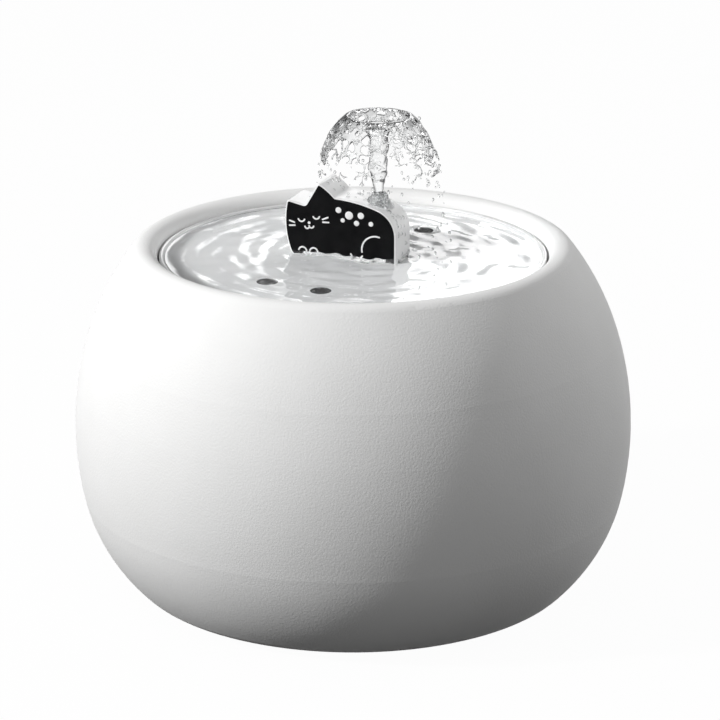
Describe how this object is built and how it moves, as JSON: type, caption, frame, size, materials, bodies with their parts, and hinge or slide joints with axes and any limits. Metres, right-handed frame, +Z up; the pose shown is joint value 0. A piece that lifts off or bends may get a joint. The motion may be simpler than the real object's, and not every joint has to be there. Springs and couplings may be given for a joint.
{
  "type": "pet water fountain",
  "caption": "Round ceramic pet water fountain: bowl with lift-out drain tray, cat-shaped spout figure with a water bell, and a submerged pump with flow dial and filter cartridge.",
  "frame": {"origin": "on the table, under the middle of the bowl", "axes": "+Z up; -Y is the front, which the cat figure's printed face looks towards, turned 20 degrees to the left; +X to the right"},
  "size_m": [0.2, 0.2, 0.1744],
  "materials": {
    "bowl_ceramic": "matt white glaze with a fine orange-peel grain",
    "tray_glaze": "smooth white glaze",
    "figure_ceramic": "white glaze, softly rounded edges",
    "face_black": "black glaze with white line print",
    "water": "clear water",
    "rubber_grey": "soft silicone rubber",
    "white_plastic": "moulded white plastic",
    "tube_clear": "clear silicone tube",
    "pump_black": "moulded black plastic with a fine spark texture",
    "pump_grey": "moulded dark grey plastic",
    "filter_plastic": "moulded pale plastic",
    "cotton_white": "needled filter cotton",
    "carbon_grain": "packed carbon granules",
    "sponge_black": "open-cell sponge",
    "magnet_ferrite": "ground ferrite",
    "core_steel": "stacked laminations",
    "coil_copper": "enamelled copper winding",
    "potting_resin": "cast resin",
    "shaft_ceramic": "ground ceramic rod"
  },
  "bodies": {
    "base": {"bowl": "bowl_ceramic", "foot_pads": "rubber_grey", "lead_grommet": "rubber_grey", "pump_body": "pump_black", "motor_cap": "pump_black", "lead_gland": "rubber_grey", "stator_core": "core_steel", "stator_coil": "coil_copper", "motor_potting": "potting_resin", "impeller_shaft": "shaft_ceramic", "rear_bush": "rubber_grey", "front_bush": "rubber_grey", "volute_cover": "pump_grey", "volute_seal": "rubber_grey", "suction_cups": "rubber_grey"},
    "tray_set": {"tray": "tray_glaze", "tray_seal": "rubber_grey", "spout_fitting": "white_plastic", "fitting_washer": "rubber_grey", "fitting_nut": "white_plastic", "riser_tube": "tube_clear", "filter_oring": "rubber_grey"},
    "filter_set": {"filter_case": "filter_plastic", "filter_lid": "filter_plastic", "filter_cotton": "cotton_white", "filter_carbon": "carbon_grain"},
    "figure_set": {"cat_figure": "figure_ceramic", "cat_face": "face_black", "water_nozzle": "tube_clear", "water_jet": "water"},
    "rotor": {"rotor_magnet": "magnet_ferrite", "impeller": "white_plastic"},
    "intake_set": {"intake_cover": "pump_black", "intake_sponge": "sponge_black"},
    "dial": {"flow_dial": "pump_grey"}
  },
  "joints": [
    {"name": "tray_lift", "type": "slide", "parent": "base", "child": "tray_set", "axis": [0, 0, 1], "range_m": [0, 0.09]},
    {"name": "figure_lift", "type": "slide", "parent": "tray_set", "child": "figure_set", "axis": [0, 0, 1], "range_m": [0, 0.03]},
    {"name": "filter_pull", "type": "slide", "parent": "tray_set", "child": "filter_set", "axis": [0, 0, -1], "range_m": [0, 0.024]},
    {"name": "intake_pull", "type": "slide", "parent": "base", "child": "intake_set", "axis": [0, -1, 0], "range_m": [0, 0.032]},
    {"name": "dial_turn", "type": "hinge", "parent": "intake_set", "child": "dial", "pos_m": [0.001, -0.024, 0.033], "axis": [0, -1, 0], "range_deg": [0, 60]},
    {"name": "impeller_spin", "type": "hinge", "parent": "base", "child": "rotor", "pos_m": [0.001, 0, 0.033], "axis": [0, 1, 0], "continuous": true}
  ]
}
